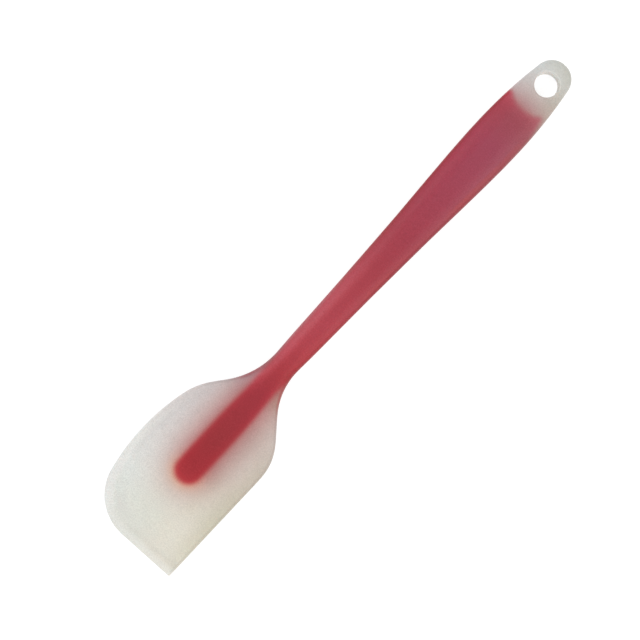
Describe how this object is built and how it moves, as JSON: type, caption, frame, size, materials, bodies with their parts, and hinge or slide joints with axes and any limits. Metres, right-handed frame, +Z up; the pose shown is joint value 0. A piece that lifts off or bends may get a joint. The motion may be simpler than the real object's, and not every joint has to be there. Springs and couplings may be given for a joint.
{
  "type": "silicone spatula",
  "caption": "Grey-white silicone spatula moulded over a dark red nylon core, with a straight and a curved blade side, a swelling handle and a round hanging hole",
  "frame": {"origin": "middle of the base of the bounding box, with the spatula lying flat on its face", "axes": "+Y along the handle towards the hanging hole, +X towards the blade's straight side, +Z up"},
  "size_m": [0.0526, 0.28, 0.0111],
  "materials": {
    "silicone": "matte",
    "nylon": "matte"
  },
  "bodies": {
    "root": {"silicone_overmould": "silicone", "nylon_core": "nylon"}
  },
  "joints": []
}
